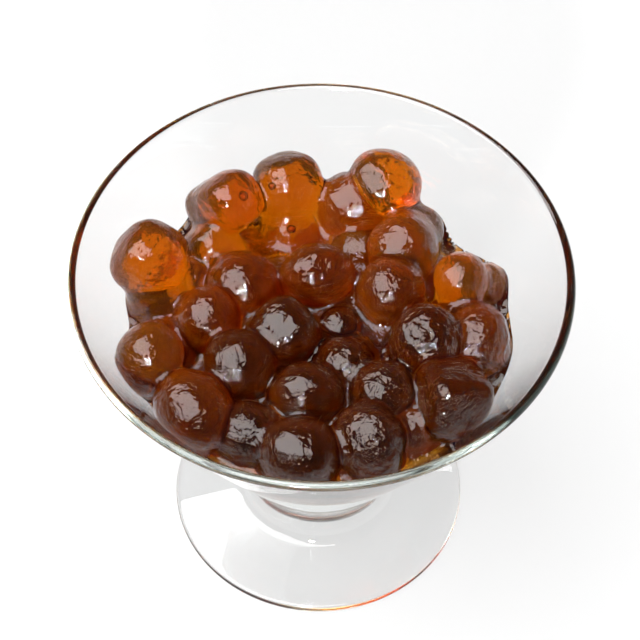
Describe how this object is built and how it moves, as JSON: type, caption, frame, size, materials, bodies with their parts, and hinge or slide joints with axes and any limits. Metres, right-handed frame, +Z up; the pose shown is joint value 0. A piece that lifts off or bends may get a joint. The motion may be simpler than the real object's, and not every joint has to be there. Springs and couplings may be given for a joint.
{
  "type": "tapioca pearls in syrup in a footed glass dish",
  "caption": "Cooked tapioca pearls heaped in brown sugar syrup, in a flared clear glass dessert dish on a short stem and a round foot",
  "frame": {"origin": "centre of the foot, on the surface that the dish stands on", "axes": "+Z up along the axis of the glass, -Y towards the front of the heap as the picture shows it, +X to its right"},
  "size_m": [0.095, 0.095, 0.076],
  "materials": {
    "glass": "clear, polished",
    "syrup": "wet, clear dark brown",
    "pearls": "wet, translucent amber brown"
  },
  "bodies": {
    "root": {"glass": "glass", "syrup": "syrup", "pearls": "pearls"}
  },
  "joints": []
}
